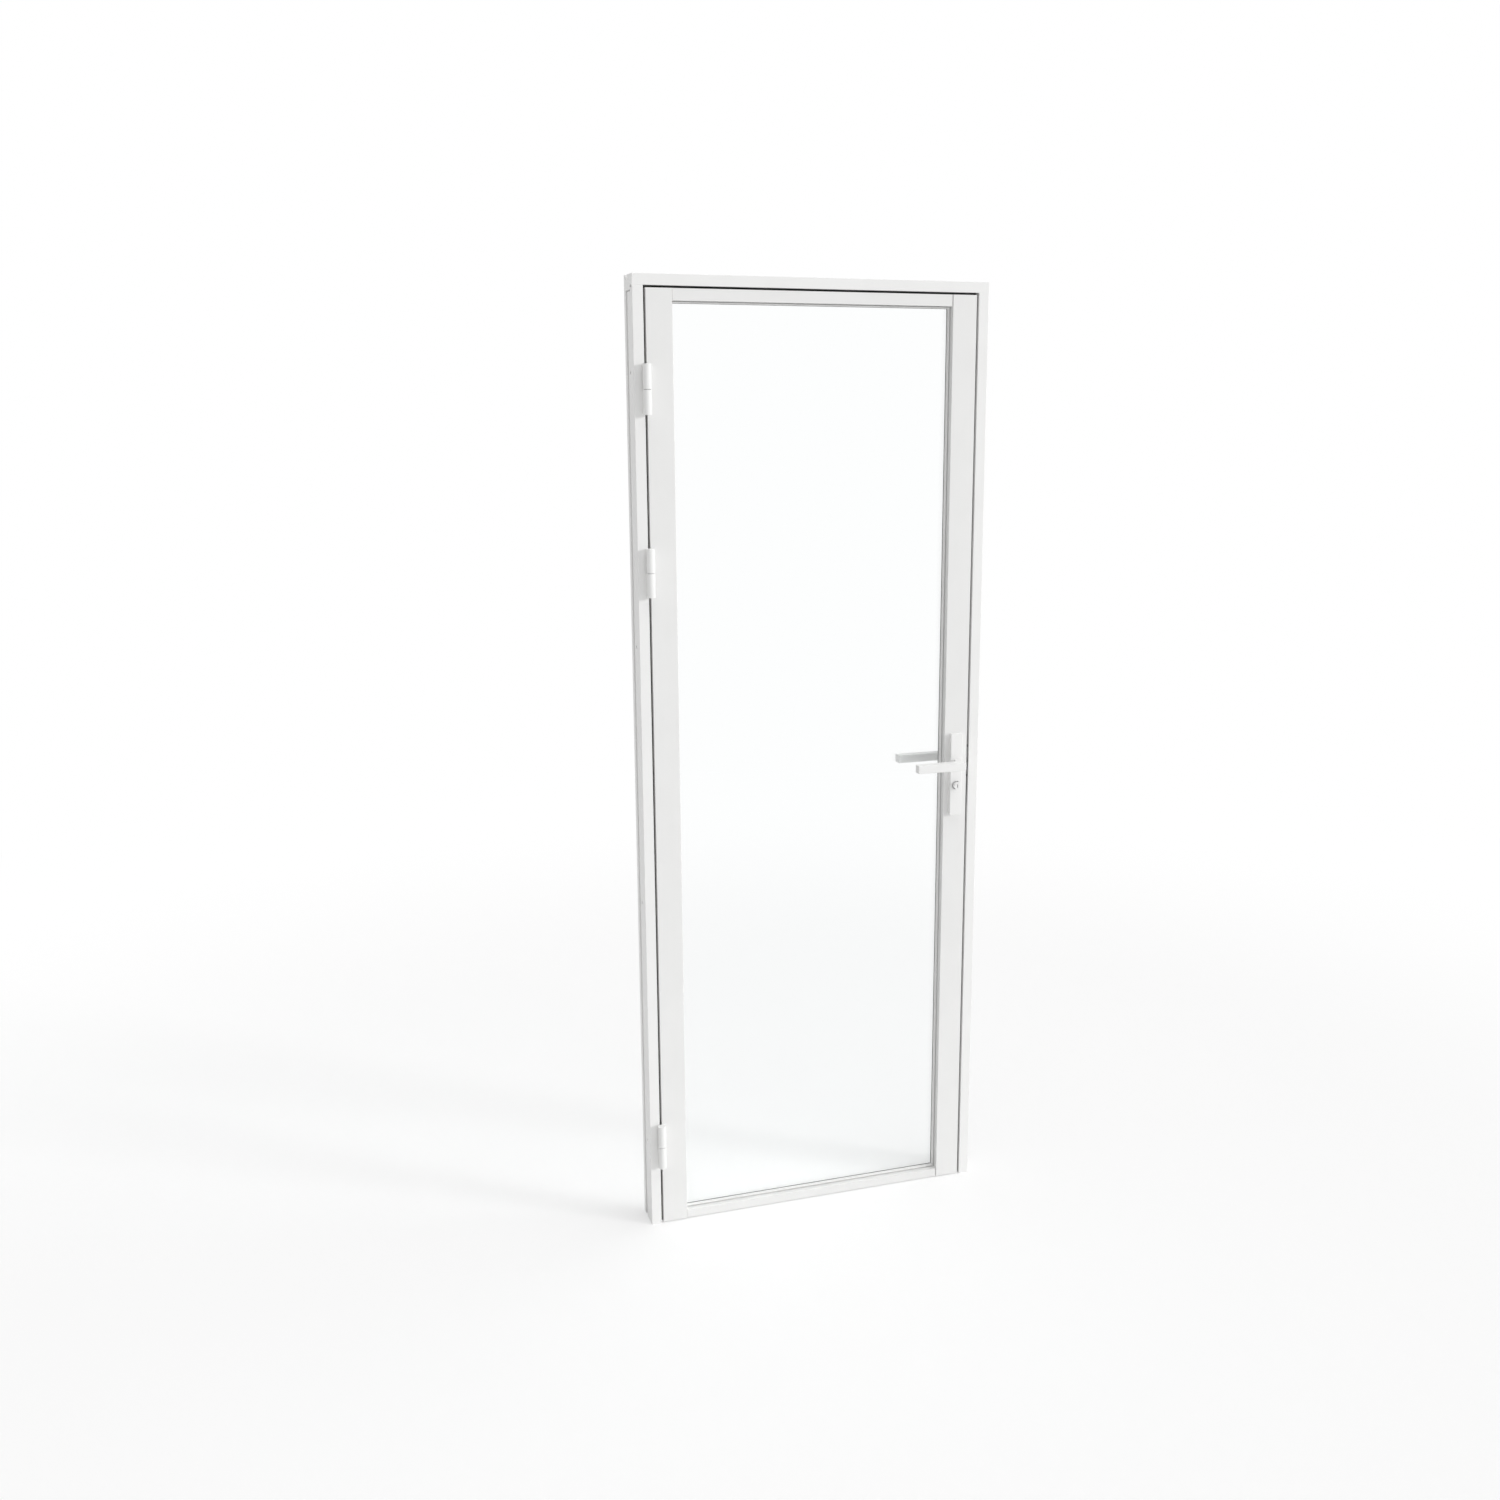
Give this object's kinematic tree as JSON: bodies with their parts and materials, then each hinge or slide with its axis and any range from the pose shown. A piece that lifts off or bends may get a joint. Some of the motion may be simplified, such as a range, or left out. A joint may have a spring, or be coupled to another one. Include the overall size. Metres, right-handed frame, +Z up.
{
  "type": "interior door",
  "caption": "Slim framed glass interior door in its frame, with barrel hinges and square lever handles.",
  "frame": {"origin": "at floor level on the rear strip of the hinge jamb's wall face, 63 mm behind the frame's front", "axes": "+X across the doorway from the hinge side to the latch side, +Y back through the wall, away from the side with the hinges, +Z up"},
  "size_m": [0.81, 0.146, 2.145],
  "materials": {
    "frame_white": "smooth satin powder coat",
    "leaf_white": "smooth satin powder coat",
    "handle_white": "satin lacquer",
    "clear_glass": "clear toughened glass",
    "seal_rubber": "matt",
    "satin_steel": "satin brushed",
    "plated_steel": "zinc plated"
  },
  "bodies": {
    "frame": {"hinge_jamb": "frame_white", "latch_jamb": "frame_white", "head": "frame_white", "hinge_seal": "seal_rubber", "latch_seal": "seal_rubber", "head_seal": "seal_rubber", "strike_plate": "handle_white", "frame_knuckle_1": "handle_white", "hinge_pin_1": "plated_steel", "frame_knuckle_2": "handle_white", "hinge_pin_2": "plated_steel", "frame_knuckle_3": "handle_white", "hinge_pin_3": "plated_steel"},
    "leaf": {"hinge_stile": "leaf_white", "latch_stile": "leaf_white", "top_rail": "leaf_white", "bottom_rail": "leaf_white", "glass_pane": "clear_glass", "bead_hinge_side": "leaf_white", "bead_latch_side": "leaf_white", "bead_top": "leaf_white", "bead_bottom": "leaf_white", "front_plate": "handle_white", "rear_plate": "handle_white", "lock_cylinder": "handle_white", "lock_faceplate": "satin_steel", "latch_bolt": "plated_steel", "leaf_knuckle_1": "handle_white", "leaf_knuckle_2": "handle_white", "leaf_knuckle_3": "handle_white"},
    "handle": {"spindle": "plated_steel", "front_lever": "handle_white", "rear_lever": "handle_white"}
  },
  "joints": [
    {"name": "leaf_hinge", "type": "hinge", "parent": "frame", "child": "leaf", "pos_m": [0.0255, -0.074, 1], "axis": [0, 0, -1], "range_deg": [0, 170]},
    {"name": "lever_turn", "type": "hinge", "parent": "leaf", "child": "handle", "pos_m": [0.7515, -0.043, 1.0575], "axis": [0, -1, 0], "range_deg": [0, 40], "stiffness_Nm_per_rad": 1.6, "springref_deg": -28.65}
  ]
}
